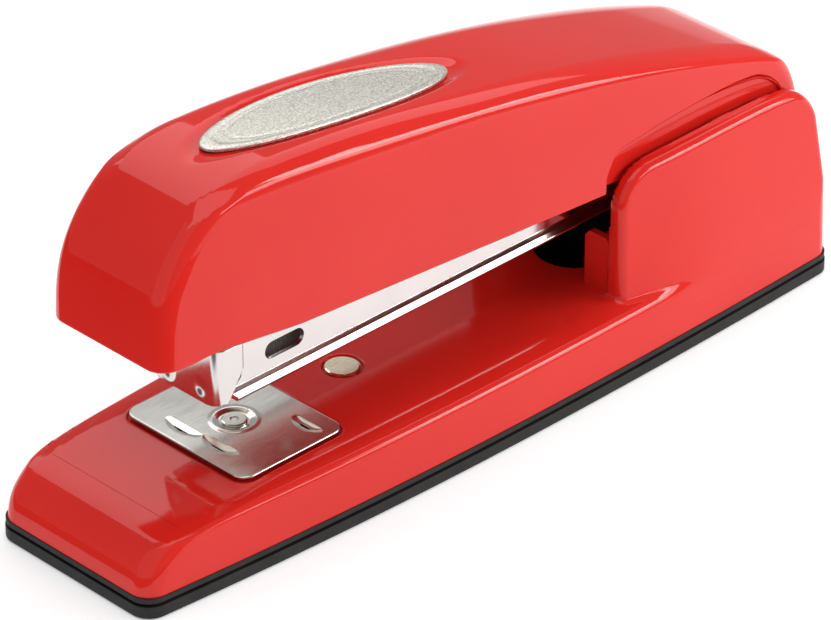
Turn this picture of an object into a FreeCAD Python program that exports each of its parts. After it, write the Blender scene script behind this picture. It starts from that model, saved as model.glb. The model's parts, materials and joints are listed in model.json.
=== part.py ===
import FreeCAD, Part
import os
import re

import Sketcher

# Full-strip desk stapler, in millimetres. X runs along the length with the nose towards -X,
# Y runs across, Z is up, and the origin is on the table under the middle of the footprint.

doc = FreeCAD.newDocument("DeskStapler")
dims = doc.addObject("Spreadsheet::Sheet", "dims")

SIZES = (
    ("overall_length", 190.0, "rubber pad, front to rear"),
    ("pad_height", 4.5, "rubber pad under the base"),
    ("pad_lip", 0.35, "how far the pad stands out past the red skirt"),
    ("base_top", 16.4, "flat top of the base"),
    ("base_sheet", 1.5, "thickness of the base shell"),
    ("base_draft", 0.5, "lean of the base's side walls over their height"),
    ("wing_inner", 18.2, "inner face of each rear wing, from the middle"),
    ("wing_sheet", 1.6, "thickness of the wing walls"),
    ("wing_top", 45.3, "highest point of the wings"),
    ("anvil_x", -52.0, "centre of the anvil plate"),
    ("anvil_long", 27.3, "anvil plate along X"),
    ("anvil_wide", 34.5, "anvil plate along Y"),
    ("anvil_low", 16.47, "underside of the anvil plate"),
    ("anvil_thick", 0.7, "anvil plate sheet"),
    ("anvil_corner", 3.0, "corner radius of the anvil plate"),
    ("recess_rim", 0.6, "gap around the anvil plate"),
    ("recess_depth", 0.9, "depth of the recess under the anvil plate"),
    ("post_radius", 3.0, "shoulder of the anvil post"),
    ("stud_x", -22.9, "rivet that holds the anvil's leaf spring"),
    ("stud_radius", 3.6, "head of that rivet"),
    ("pin_x", 82.5, "hinge pin, along X"),
    ("pin_z", 37.0, "hinge pin, height"),
    ("pin_radius", 2.5, "hinge pin"),
    ("pin_play", 0.08, "radial clearance of the moving ears on the pin"),
    ("cheek_in", 13.4, "inner face of the cradle cheeks"),
    ("cheek_sheet", 1.6, "cradle sheet"),
    ("rail_low", 29.5, "underside of the magazine's bottom rail"),
    ("rail_half", 10.6, "half width of the bottom rail"),
    ("rail_sheet", 0.8, "magazine sheet"),
    ("channel_half", 9.4, "outer half width of the magazine channel"),
    ("channel_top", 41.6, "top edge of the magazine channel"),
    ("channel_front", -58.5, "front end of the channel"),
    ("core_half", 5.3, "half width of the rail that the staples ride on"),
    ("core_top", 36.9, "top of that rail"),
    ("core_front", -61.1, "front end of that rail"),
    ("staple_half", 6.4, "half width of a staple"),
    ("staple_wire", 0.55, "staple wire"),
    ("staple_low", 31.4, "points of the staples"),
    ("staple_top", 38.0, "crowns of the staples"),
    ("strip_rear", 2.4, "rear end of the staple strip"),
    ("nose_front", -64.2, "front face of the nose"),
    ("nose_low", 28.6, "lower edge of the nose"),
    ("nose_half", 10.2, "half width of the nose"),
    ("nose_sheet", 0.9, "nose sheet"),
    ("nose_top", 42.0, "top edge of the nose"),
    ("guide_z", 40.4, "axis of the follower's guide rod"),
    ("guide_radius", 1.1, "guide rod"),
    ("follower_long", 14.0, "follower along X"),
    ("stop_x", 64.0, "front face of the rear stop"),
    ("cap_front", -84.9, "front of the handle cap"),
    ("cap_sheet", 1.2, "handle cap sheet"),
    ("cap_step", 17.0, "half width of the cap where it passes between the wings"),
    ("frame_half", 11.6, "outer half width of the handle frame"),
    ("frame_sheet", 1.2, "handle frame sheet"),
    ("blade_front", -62.5, "front face of the driver blade"),
    ("blade_thick", 0.8, "driver blade"),
    ("blade_half", 6.2, "half width of the driver blade"),
    ("blade_low", 38.6, "tip of the driver blade at rest"),
    ("blade_top", 61.0, "upper end of the driver blade"),
)
ALIASES = set()
for row, (alias, number, note) in enumerate(SIZES, 1):
    dims.set("A%d" % row, note)
    dims.set("B%d" % row, str(number))
    dims.setAlias("B%d" % row, alias)
    ALIASES.add(alias)
doc.recompute()

NODES = []


def bound(text):
    """The same formula with each size pointed at its cell in the sheet."""
    return re.sub(r"[a-z_]+", lambda m: "dims." + m.group() if m.group() in ALIASES else m.group(), text)


def value(text):
    return float(dims.evalExpression(bound(text)))


def bind(obj, prop, text):
    obj.setExpression(prop, bound(text))


def node(obj, label):
    """Names a finished piece of the stapler."""
    obj.Label = label
    NODES.append(obj)
    return obj


def vec(x, y, z):
    return FreeCAD.Vector(x, y, z)


# ---- simple solids with bound sizes ----

def block(name, x, y, z):
    """A box between a low and a high coordinate on each axis."""
    obj = doc.addObject("Part::Box", name)
    for side, axis, (low, high) in (("Length", "x", x), ("Width", "y", y), ("Height", "z", z)):
        bind(obj, side, "(%s) - (%s)" % (high, low))
        bind(obj, "Placement.Base." + axis, low)
    return obj


TURNS = {
    "X": FreeCAD.Rotation(vec(0, 1, 0), 90),
    "Y": FreeCAD.Rotation(vec(1, 0, 0), -90),
    "Z": FreeCAD.Rotation(),
}


def rod(name, axis, start, radius, length):
    """A cylinder that starts at a point and runs along +axis."""
    obj = doc.addObject("Part::Cylinder", name)
    obj.Placement = FreeCAD.Placement(vec(0, 0, 0), TURNS[axis])
    for letter, text in zip("xyz", start):
        bind(obj, "Placement.Base." + letter, text)
    bind(obj, "Radius", radius)
    bind(obj, "Height", length)
    return obj


def bores(name, spots, foot, radius, height):
    """Upright bores at a row of spots."""
    made = []
    for i, (x, y) in enumerate(spots):
        made.append(rod("%s_%d" % (name, i), "Z", (str(x), str(y), foot), radius, height))
    return made


def fuse(name, *shapes):
    obj = doc.addObject("Part::MultiFuse", name)
    obj.Shapes = list(shapes)
    return obj


def cut(name, base, *tools):
    obj = doc.addObject("Part::Cut", name)
    obj.Base = base
    obj.Tool = tools[0] if len(tools) == 1 else fuse(name + "_tools", *tools)
    return obj


def common(name, first, second):
    obj = doc.addObject("Part::MultiCommon", name)
    obj.Shapes = [first, second]
    return obj


def mirrored(name, source):
    """The piece's mirror image across the middle plane."""
    other = doc.addObject("Part::Mirroring", name)
    other.Source = source
    other.Normal = (0, 1, 0)
    return other


def group(name, *shapes):
    """Separate solids kept as one piece list."""
    obj = doc.addObject("Part::Compound", name)
    obj.Links = list(shapes)
    return obj


# ---- PartDesign bodies from bound outlines ----

ROLES = {"XY": "XY_Plane", "XZ": "XZ_Plane", "YZ": "YZ_Plane"}


def outline(body, name, plane, points, lift=None):
    """A closed sketch of straight lines, each corner held by two bound distances."""
    support = next(f for f in body.Origin.OriginFeatures if f.Role == ROLES[plane])
    sketch = body.newObject("Sketcher::SketchObject", name)
    sketch.AttachmentSupport = [(support, "")]
    sketch.MapMode = "FlatFace"
    if lift is not None:
        bind(sketch, "AttachmentOffset.Base.z", lift)
    spots = [vec(value(a), value(b), 0) for a, b in points]
    count = len(spots)
    for i in range(count):
        sketch.addGeometry(Part.LineSegment(spots[i], spots[(i + 1) % count]), False)
    for i in range(count):
        sketch.addConstraint(Sketcher.Constraint("Coincident", i, 2, (i + 1) % count, 1))
    for i, pair in enumerate(points):
        for kind, text in zip(("DistanceX", "DistanceY"), pair):
            spot = sketch.addConstraint(Sketcher.Constraint(kind, -1, 1, i, 1, value(text)))
            bind(sketch, "Constraints[%d]" % spot, text)
    return sketch


def pad(name, plane, points, length, lift=None, middle=False):
    """A body padded from one outline."""
    body = doc.addObject("PartDesign::Body", name)
    sketch = outline(body, name + "_outline", plane, points, lift)
    feature = body.newObject("PartDesign::Pad", name + "_pad")
    feature.Profile = sketch
    bind(feature, "Length", length)
    if middle:
        feature.SideType = "Symmetric"
    return body


def turned(name, points, centre):
    """A body turned about its own Z axis from a half section (radius, height), then set at a centre."""
    body = doc.addObject("PartDesign::Body", name)
    sketch = outline(body, name + "_section", "XZ", points)
    feature = body.newObject("PartDesign::Revolution", name + "_turn")
    feature.Profile = sketch
    feature.ReferenceAxis = (sketch, ["V_Axis"])
    feature.Angle = 360
    for letter, text in zip("xyz", centre):
        bind(body, "Placement.Base." + letter, text)
    return body


def round_edges(body, radius, picked):
    """Rounds the edges of a body that picked() says yes to."""
    doc.recompute()
    names = ["Edge%d" % (i + 1) for i, e in enumerate(body.Shape.Edges) if picked(e)]
    before = body.Tip
    feature = body.newObject("PartDesign::Fillet", body.Name + "_round")
    feature.Base = (before, names)
    bind(feature, "Radius", radius)
    body.Tip = feature
    return body


def upright(edge):
    a, b = edge.Vertexes[0].Point, edge.Vertexes[-1].Point
    return abs(a.x - b.x) < 1e-6 and abs(a.y - b.y) < 1e-6 and abs(a.z - b.z) > 1e-3


# ---- sculpted shells ----

def chain(runs, place):
    """A closed wire of runs of points: two points make a line, more make a smooth curve."""
    edges = []
    for run in runs:
        spots = [place(*p) for p in run]
        if len(spots) == 2:
            edges.append(Part.makeLine(*spots))
        else:
            curve = Part.BSplineCurve()
            curve.interpolate(spots)
            edges.append(curve.toShape())
    return Part.Wire(edges)


def slab(runs, half):
    """A side outline in X and Z, made into a solid from -half to +half across."""
    wire = chain(runs, lambda x, z: vec(x, -half, z))
    return Part.Face(wire).extrude(vec(0, 2 * half, 0))


def plan(halves, inset, height):
    """A plan outline from half widths along X, drawn in by an inset, at a height."""
    near = [(x, -(half - inset)) for x, half in halves]
    near[0] = (near[0][0] + inset, near[0][1])
    near[-1] = (near[-1][0] - inset, near[-1][1])
    far = [(x, -y) for x, y in reversed(near)]
    runs = (near, (near[-1], far[0]), far, (far[-1], near[0]))
    return chain(runs, lambda x, y: vec(x, y, height))


def drafted(halves, low, high):
    """A solid between two insets of one plan: low and high are (inset, height)."""
    return Part.makeLoft([plan(halves, *low), plan(halves, *high)], True, True)


def corners(solid, front_radius, rear_radius):
    """Rounds the four upright corners of a plan solid."""
    box = solid.BoundBox
    for radius, middle in ((front_radius, box.XMin), (rear_radius, box.XMax)):
        edges = []
        for edge in solid.Edges:
            a, b = edge.Vertexes[0].Point, edge.Vertexes[-1].Point
            if abs(a.z - b.z) > 0.3 and abs(a.x - middle) < 4 and abs(b.x - middle) < 4:
                edges.append(edge)
        solid = solid.makeFillet(radius, edges)
    return solid


def shell(label, shape):
    obj = doc.addObject("Part::Feature", label)
    obj.Shape = shape.removeSplitter()
    return node(obj, label)


half_length = value("overall_length") / 2
FOOTPRINT = [
    (-half_length, 21.5), (-78.0, 23.0), (-60.0, 24.3), (-30.0, 25.8), (0.0, 26.5),
    (30.0, 26.5), (60.0, 26.0), (80.0, 25.4), (half_length, 24.8),
]

# -- rubber pad: a tray with a thin ledge around the top --
pad_top = value("pad_height")
band = corners(drafted(FOOTPRINT, (0.0, 0.0), (0.0, 2.7)), 4.5, 4.0)
band = band.makeFillet(0.4, [e for e in band.Edges if e.BoundBox.ZMax < 0.01])
neck = corners(drafted(FOOTPRINT, (0.9, 2.5), (0.9, 3.5)), 4.0, 3.5)
ledge = corners(drafted(FOOTPRINT, (0.12, 3.4), (0.12, pad_top)), 4.4, 3.9)
tray = corners(drafted(FOOTPRINT, (4.0, 2.6), (4.0, pad_top + 1)), 3.0, 3.0)
shell("rubber_pad", band.fuse([neck, ledge]).cut(tray))

# -- base shell: sloped front, flat top, two wings that stand at the rear --
base_top = value("base_top")
sheet = value("base_sheet")
lip = value("pad_lip")
draft = value("base_draft")
NOSE_CURVE = [
    (-94.65, pad_top), (-94.2, 7.4), (-92.7, 10.7), (-89.9, 13.5), (-86.0, 15.3), (-80.5, base_top),
]
base_runs = (
    NOSE_CURVE,
    (NOSE_CURVE[-1], (96.0, base_top)),
    ((96.0, base_top), (96.0, pad_top)),
    ((96.0, pad_top), NOSE_CURVE[0]),
)
outer = corners(drafted(FOOTPRINT, (lip, pad_top), (lip + draft, 20.0)), 4.2, 4.0)
outer = outer.common(slab(base_runs, 40))
rim = [e for e in outer.Edges if e.BoundBox.ZMin > base_top - 0.01 and e.BoundBox.XMin > -81]
outer = outer.makeFillet(1.9, rim)
inner_curve = [(x + sheet, z - sheet if i else z - 5) for i, (x, z) in enumerate(NOSE_CURVE)]
inner_runs = (
    inner_curve,
    (inner_curve[-1], (96.0, base_top - sheet)),
    ((96.0, base_top - sheet), (96.0, pad_top - 5)),
    ((96.0, pad_top - 5), inner_curve[0]),
)
inner = corners(drafted(FOOTPRINT, (lip + sheet, pad_top - 6), (lip + draft + sheet, 20.0)), 3.0, 3.5)
inner = inner.common(slab(inner_runs, 40))

WING_FOOT = [(33.5, 22.1), (42.0, 23.9), (51.0, 25.4), (62.0, 25.4), (75.0, 25.0), (94.3, 24.3)]
WING_HEAD = [(33.5, 20.8), (42.0, 21.3), (51.0, 21.7), (62.0, 21.8), (75.0, 21.7), (94.3, 20.9)]
wing_top = value("wing_top")
wing_in = value("wing_inner")
wing_sheet = value("wing_sheet")


def wing_block(inset, inner_y, foot_z, head_z):
    """One near-side wing between its inner face and its leaning outer face."""
    wires = []
    for halves, z in ((WING_FOOT, foot_z), (WING_HEAD, head_z)):
        outside = [(x, -(half - inset)) for x, half in halves]
        outside[0] = (outside[0][0] + inset, outside[0][1])
        outside[-1] = (outside[-1][0] - inset, outside[-1][1])
        front_in = (outside[0][0], -inner_y)
        rear_in = (outside[-1][0], -inner_y)
        runs = (outside, (outside[-1], rear_in), (rear_in, front_in), (front_in, outside[0]))
        wires.append(chain(runs, lambda x, y, z=z: vec(x, y, z)))
    return Part.makeLoft(wires, True, True)


def wing_side(inset, foot_z):
    """The wing seen from the side."""
    front = [(34.0 + inset, 36.0), (35.0 + inset, 40.4 - inset / 2), (37.6 + inset / 2, 43.4 - inset),
             (42.0, wing_top - 0.7 - inset)]
    top = [front[-1], (55.0, wing_top - 0.1 - inset), (68.0, wing_top - inset),
           (79.0, wing_top - 0.4 - inset), (86.0, wing_top - 1.5 - inset)]
    rear = [top[-1], (90.0 - inset / 2, 41.3 - inset / 2), (92.1 - inset, 36.5)]
    runs = (
        ((33.4 + inset, foot_z), front[0]),
        front,
        top,
        rear,
        (rear[-1], (94.3 - inset, foot_z)),
        ((94.3 - inset, foot_z), (33.4 + inset, foot_z)),
    )
    return slab(runs, 40)


wing = wing_block(0.0, wing_in, 14.0, 46.5).common(wing_side(0.0, 14.9))
crest = []
for edge in wing.Edges:
    box = edge.BoundBox
    if box.ZMin > 14.9 + 0.5 and box.YMax < -wing_in - 0.5 or (box.ZMax > 30 and box.YMax < -wing_in - 0.5):
        crest.append(edge)
wing = wing.makeFillet(1.5, crest)
hollow = wing_block(wing_sheet, 15.0, 14.0, 46.5).common(wing_side(wing_sheet, base_top))
wing = wing.cut(hollow)
far_wing = wing.mirror(vec(0, 0, 0), vec(0, 1, 0))

anvil_x = value("anvil_x")
rim_gap = value("recess_rim")
recess_long = value("anvil_long") + 2 * rim_gap
recess_wide = value("anvil_wide") + 2 * rim_gap
recess_floor = base_top - value("recess_depth")
recess = Part.makeBox(recess_long, recess_wide, 3, vec(anvil_x - recess_long / 2, -recess_wide / 2,
                                                       recess_floor))
recess = recess.makeFillet(value("anvil_corner") + rim_gap, [e for e in recess.Edges if upright(e)])
under = Part.makeBox(recess_long + 3, recess_wide + 3, 2,
                     vec(anvil_x - recess_long / 2 - 1.5, -recess_wide / 2 - 1.5, recess_floor - sheet))
post_hole = Part.makeCylinder(value("post_radius") + 0.5, 20, vec(anvil_x, 0, 5))
stud_x = value("stud_x")
stud_seat = Part.makeCylinder(value("stud_radius") + 0.5, 2, vec(stud_x, 0, base_top - 0.75))
stud_hole = Part.makeCylinder(1.9, 10, vec(stud_x, 0, 10))
well_front = Part.makeCylinder(8.5, 6, vec(43.0, 0, 12))
well = Part.makeBox(44.0, 17, 6, vec(43.0, -8.5, 12))

RIVET_SPOTS = [(x, y) for x in (51.0, 68.0) for y in (-11.0, 11.0)]
rivet_bores = [Part.makeCylinder(1.5, 10, vec(x, y, 10)) for x, y in RIVET_SPOTS]

base = outer.cut(inner).fuse([wing, far_wing, under])
base = base.cut([recess, post_hole, stud_seat, stud_hole, well_front, well] + rivet_bores)
shell("base_shell", base)

# ---- anvil ----
anvil_high = "anvil_low + anvil_thick"
plate = pad("plate", "XY", (
    ("anvil_x - anvil_long / 2", "-anvil_wide / 2"), ("anvil_x + anvil_long / 2", "-anvil_wide / 2"),
    ("anvil_x + anvil_long / 2", "anvil_wide / 2"), ("anvil_x - anvil_long / 2", "anvil_wide / 2"),
), "anvil_thick", lift="anvil_low")
round_edges(plate, "anvil_corner", upright)
dish = rod("dish", "Z", ("anvil_x", "0", anvil_high + " - 0.35"), "4.0", "1")
dish_hole = rod("dish_hole", "Z", ("anvil_x", "0", "anvil_low - 1"), "1.6", "3")


def crescent(name, x, y, reach, bulge):
    """A shallow staple-forming groove: the overlap of two discs, bowed along X."""
    first = rod(name + "_a", "Z", (x + " - " + bulge, y, anvil_high + " - 0.4"), reach, "1")
    second = rod(name + "_b", "Z", (x + " + " + bulge, y, anvil_high + " - 0.4"), reach, "1")
    return common(name, first, second)


grooves = [
    crescent("groove_front_near", "anvil_x - 8.9", "-4.75", "5.4", "4.0"),
    crescent("groove_front_far", "anvil_x - 8.9", "4.75", "5.4", "4.0"),
    crescent("groove_rear_near", "anvil_x + 8.2", "-11.1", "5.0", "3.7"),
    crescent("groove_rear_far", "anvil_x + 8.2", "11.1", "5.0", "3.7"),
]
node(cut("anvil_cut", plate, dish, dish_hole, *grooves), "anvil_plate")

node(turned("post", (
    ("0", "7.0"), ("2.0", "7.0"), ("2.0", "9.6"), ("post_radius", "9.6"), ("post_radius", "anvil_low"),
    ("1.5", "anvil_low"), ("1.5", "anvil_low + 0.35"), ("2.6", "anvil_low + 0.35"),
    ("2.6", "anvil_low + 0.6"),
    ("2.3", "anvil_low + 0.72"), ("0.9", "anvil_low + 0.72"), ("0.6", "anvil_low + 0.5"),
    ("0", "anvil_low + 0.5"),
), ("anvil_x", "0", "0")), "anvil_post")
collar = rod("collar_disc", "Z", ("anvil_x", "0", "8.1"), "4.6", "1.3")
node(cut("collar", collar, rod("collar_bore", "Z", ("anvil_x", "0", "7"), "2.06", "4")), "anvil_collar")
clip = rod("clip_disc", "Z", ("anvil_x", "0", "7.2"), "3.6", "0.7")
node(cut("clip", clip, rod("clip_bore", "Z", ("anvil_x", "0", "6"), "2.0", "3")), "anvil_clip")
leaf = pad("anvil_leaf_strip", "XZ", (
    ("anvil_x - 5.5", "9.9"), ("anvil_x + 9", "9.9"), ("stud_x - 8", "base_top - base_sheet - 0.6"),
    ("stud_x + 5", "base_top - base_sheet - 0.6"), ("stud_x + 5", "base_top - base_sheet"),
    ("stud_x - 8.4", "base_top - base_sheet"), ("anvil_x + 8.6", "10.5"), ("anvil_x - 5.5", "10.5"),
), "10", middle=True)
node(cut("anvil_leaf_cut", leaf, rod("leaf_eye", "Z", ("anvil_x", "0", "8"), "post_radius + 0.4", "4"),
         rod("leaf_rivet_eye", "Z", ("stud_x", "0", "12"), "1.8", "4")), "anvil_leaf_spring")
node(turned("stud", (
    ("0", "12.6"), ("2.9", "12.6"), ("2.9", "base_top - base_sheet - 0.6"),
    ("1.8", "base_top - base_sheet - 0.6"), ("1.8", "base_top - 0.7"), ("stud_radius", "base_top - 0.7"),
    ("stud_radius", "base_top + 0.05"), ("stud_radius - 0.3", "base_top + 0.2"), ("0", "base_top + 0.2"),
), ("stud_x", "0", "0")), "spring_rivet")

# ---- hinge cradle, fixed inside the wings ----
cheek = pad("cheek", "XZ", (
    ("34.3", "base_top"), ("84", "base_top"), ("89.2", "33.5"), ("89.2", "40.5"), ("86", "43.6"),
    ("79", "43.6"),
    ("70", "40"), ("52", "29"), ("34.3", "27"),
), "cheek_sheet", lift="cheek_in")
cheek_bore = rod("cheek_bore", "Y", ("pin_x", "-20", "pin_z"), "pin_radius", "40")
flange = pad("flange", "YZ", (
    ("-18.0", "base_top"), ("-11.2", "base_top"), ("-11.2", "27.6"), ("-12.4", "29"), ("-17.0", "29"),
    ("-18.0", "27.8"),
), "1.5", lift="34.3")
foot = block("cradle_foot", ("46", "84"), ("-18", "-8.9"), ("base_top", "base_top + 1.2"))
near_side = cut("cradle_side", fuse("cradle_near", cheek, flange, foot), cheek_bore)
tie = block("cradle_tie", ("70", "84"), ("-13.6", "13.6"), ("base_top", "base_top + 1.2"))
far_side = mirrored("cradle_far", near_side)
cradle = fuse("cradle_whole", near_side, far_side, tie)
node(cut("cradle_cut", cradle, *bores("foot_hole", RIVET_SPOTS, "14", "1.5", "5")), "hinge_cradle")

cradle_rivets = []
for i, (x, y) in enumerate(RIVET_SPOTS):
    cradle_rivets.append(turned("cradle_rivet_%d" % i, (
        ("0", "13.8"), ("2.1", "13.8"), ("2.1", "base_top - base_sheet"), ("1.5", "base_top - base_sheet"),
        ("1.5", "base_top + 1.2"), ("2.2", "base_top + 1.2"), ("1.9", "base_top + 2.0"),
        ("1.0", "base_top + 2.4"),
        ("0", "base_top + 2.4"),
    ), (str(x), str(y), "0")))
node(group("cradle_rivet_set", *cradle_rivets), "cradle_rivets")

pin_body = rod("pin_body", "Y", ("pin_x", "-15.4", "pin_z"), "pin_radius", "30.8")
node(pin_body, "hinge_pin")
rings = []
for side, y in (("near", "-13.0"), ("far", "12.1")):
    ring = rod("ring_disc_" + side, "Y", ("pin_x", y, "pin_z"), "pin_radius + 1.7", "0.9")
    bore = rod("ring_bore_" + side, "Y", ("pin_x", "-20", "pin_z"), "pin_radius", "40")
    rings.append(cut("ring_" + side, ring, bore))
node(group("ring_set", *rings), "pin_rings")

# leaf that holds the magazine up off the base
lift = pad("lift_leaf", "XZ", (
    ("71.6", "base_top + 1.2"), ("78", "base_top + 1.2"), ("78", "base_top + 1.9"),
    ("72", "base_top + 1.9"),
    ("55.5", "rail_low - 0.05"), ("51", "rail_low - 0.05"), ("48.4", "rail_low - 1.2"),
    ("48.8", "rail_low - 1.7"),
    ("51.3", "rail_low - 0.75"), ("55.1", "rail_low - 0.75"),
), "12", middle=True)
node(lift, "lift_spring")

# ---- magazine ----
ear_bore = rod("channel_bore", "Y", ("pin_x", "-20", "pin_z"), "pin_radius + pin_play", "40")
floor = "rail_low + rail_sheet"
wall_in = "channel_half - rail_sheet"
section = (
    ("0.35 - channel_half", floor), ("channel_half - 0.35", floor), ("channel_half", "rail_low + 2.9"),
    ("channel_half", "46"), (wall_in, "46"), (wall_in, floor + " + rail_sheet"),
    ("-(%s)" % wall_in, floor + " + rail_sheet"), ("-(%s)" % wall_in, "46"), ("-channel_half", "46"),
    ("-channel_half", "rail_low + 2.9"),
)
trough = pad("trough", "YZ", section, "pin_x + 8 - nose_front", lift="nose_front")
trough_side = pad("trough_side", "XZ", (
    ("channel_front - 3.6", floor), ("70", floor), ("79.5", "pin_z - 6.8"), ("85.5", "pin_z - 6.8"),
    ("89.2", "pin_z - 3"), ("89.2", "pin_z + 3"), ("85.5", "pin_z + 6.6"), ("79.5", "pin_z + 6.6"),
    ("70", "channel_top"),
    ("channel_front", "channel_top"), ("channel_front", floor + " + 3.6"),
), "40", middle=True)
window = fuse(
    "window",
    rod("window_front", "Y", ("-50.4", "-20", "36.4"), "1.9", "40"),
    rod("window_rear", "Y", ("-43.9", "-20", "36.4"), "1.9", "40"),
    block("window_middle", ("-50.4", "-43.9"), ("-20", "20"), ("36.4 - 1.9", "36.4 + 1.9")),
)
RAIL_RIVETS = [(-38.0, 0), (20.0, 0), (60.0, 0)]
floor_holes = bores("floor_hole", RAIL_RIVETS, "25", "1.2", "10")
# the floor stops behind the driver blade, and only the side walls reach on to the nose
blade_slot = block("blade_slot", ("nose_front - 1", "core_front + 0.3"), ("-(%s)" % wall_in, wall_in),
                   (floor + " - 1", floor + " + 2"))
node(cut("channel_cut", common("channel_blank", trough, trough_side), window, ear_bore, blade_slot,
         *floor_holes), "magazine_channel")

rail = pad("rail", "YZ", (
    ("-rail_half", "rail_low"), ("rail_half", "rail_low"), ("rail_half", "rail_low + 1.6"),
    ("rail_half - 0.6", "rail_low + 1.6"), ("rail_half - 0.6", floor), ("0.6 - rail_half", floor),
    ("0.6 - rail_half", "rail_low + 1.6"), ("-rail_half", "rail_low + 1.6"),
), "68 - channel_front", lift="channel_front - 2")
node(cut("rail_cut", rail, *bores("rail_hole", RAIL_RIVETS, "25", "1.2", "10")), "bottom_rail")
rail_rivets = []
for i, (x, y) in enumerate(RAIL_RIVETS):
    rail_rivets.append(turned("rail_rivet_%d" % i, (
        ("0", "rail_low - 0.02"), ("1.2", "rail_low - 0.02"), ("1.2", floor + " + rail_sheet"),
        ("1.9", floor + " + rail_sheet"), ("1.6", floor + " + rail_sheet + 0.7"),
        ("0", floor + " + rail_sheet + 0.7"),
    ), (str(x), "0", "0")))
node(group("rail_rivet_set", *rail_rivets), "rail_rivets")

core_low = floor + " + rail_sheet"
core = pad("core", "YZ", (
    ("-core_half", core_low), ("-core_half + rail_sheet", core_low),
    ("-core_half + rail_sheet", "core_top - rail_sheet"),
    ("core_half - rail_sheet", "core_top - rail_sheet"), ("core_half - rail_sheet", core_low),
    ("core_half", core_low),
    ("core_half", "core_top"), ("-core_half", "core_top"),
), "stop_x - core_front", lift="core_front")
node(core, "staple_core")

strip = pad("strip", "YZ", (
    ("-staple_half", "staple_low"), ("-staple_half + staple_wire", "staple_low"),
    ("-staple_half + staple_wire", "staple_top - staple_wire"),
    ("staple_half - staple_wire", "staple_top - staple_wire"),
    ("staple_half - staple_wire", "staple_low"), ("staple_half", "staple_low"),
    ("staple_half", "staple_top"),
    ("-staple_half", "staple_top"),
), "strip_rear - core_front", lift="core_front")
node(strip, "staple_strip")

plate_side = (
    ("nose_front", "nose_low"), ("nose_front + nose_sheet", "nose_low"),
    ("nose_front + nose_sheet - 1.5", "nose_top"), ("nose_front - 1.5", "nose_top"),
)
nose_plate = pad("nose_plate", "XZ", plate_side, "2 * nose_half", middle=True)
nose_flap = pad("nose_flap", "XZ", (
    ("nose_front + 0.4", "nose_low"), ("nose_front + 1.6", "nose_low"),
    ("channel_front - 0.1", floor + " + 4.4"),
    ("channel_front - 0.1", "nose_top"), ("nose_front - 1.1", "nose_top"),
), "nose_half - channel_half", lift="channel_half")
nose = fuse("nose_whole", nose_plate, nose_flap, mirrored("nose_flap_far", nose_flap))
dimples = []
for side, y in (("near", "-5.0"), ("far", "5.0")):
    dimple = doc.addObject("Part::Sphere", "dimple_" + side)
    bind(dimple, "Radius", "4.0")
    bind(dimple, "Placement.Base.x", "nose_front - 3.7")
    bind(dimple, "Placement.Base.y", y)
    bind(dimple, "Placement.Base.z", "nose_low + 2.9")
    dimples.append(dimple)
node(cut("nose_cut", nose, *dimples), "nose_cap")

bridge = block("bridge_bar", ("channel_front + 0.6", "channel_front + 3.2"), ("-(%s)" % wall_in, wall_in),
               ("staple_top + 0.6", "channel_top"))
node(cut("bridge_cut", bridge, rod("bridge_bore", "X", ("-60", "0", "guide_z"), "guide_radius", "20")),
     "rod_bridge")
stop = block("stop_block", ("stop_x", "stop_x + 4"), ("-(%s)" % wall_in, wall_in),
             (core_low, "guide_z + 2.4"))
node(cut("stop_cut", stop, rod("stop_bore", "X", ("50", "0", "guide_z"), "guide_radius", "30")),
     "rear_stop")
node(rod("guide_pin", "X", ("channel_front + 0.6", "0", "guide_z"), "guide_radius",
         "stop_x + 4 - channel_front - 0.6"), "guide_rod")

# ---- follower ----
saddle = pad("saddle", "YZ", (
    ("-staple_half", "staple_low"), ("-core_half - 0.3", "staple_low"),
    ("-core_half - 0.3", "core_top + 0.3"),
    ("core_half + 0.3", "core_top + 0.3"), ("core_half + 0.3", "staple_low"), ("staple_half", "staple_low"),
    ("staple_half", "staple_top + 0.3"), ("-staple_half", "staple_top + 0.3"),
), "follower_long", lift="strip_rear + 0.05")
lug = block("lug", ("strip_rear + 9", "strip_rear + 12"), ("-2.6", "2.6"), ("staple_top", "guide_z + 2.2"))
lug_bore = rod("lug_bore", "X", ("strip_rear", "0", "guide_z"), "guide_radius + 0.09", "20")
node(cut("follower_cut", fuse("follower_whole", saddle, lug), lug_bore), "follower")

spring_start = value("strip_rear") + 12.25
spring_end = value("stop_x") - 0.1
coil_wire = 0.35
coil_radius = value("guide_radius") + 0.6
coil_turns = 22
helix = Part.makeHelix((spring_end - spring_start - 2 * coil_wire) / coil_turns,
                       spring_end - spring_start - 2 * coil_wire, coil_radius)
coil_mouth = Part.Wire(Part.makeCircle(coil_wire, vec(coil_radius, 0, 0), vec(0, 1, 0)))
coil = Part.Wire(helix.Edges).makePipeShell([coil_mouth], True, True)
coil.rotate(vec(0, 0, 0), vec(0, 1, 0), 90)
coil.translate(vec(spring_start + coil_wire, 0, value("guide_z")))
shell("follower_spring", coil)

# ---- handle cap ----
CAP_HALVES = [
    (value("cap_front") - 0.4, 16.9), (-70.0, 18.2), (-50.0, 19.2), (-20.0, 20.0), (20.0, 20.2),
    (60.0, 19.7),
    (92.4, 18.1),
]
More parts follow.
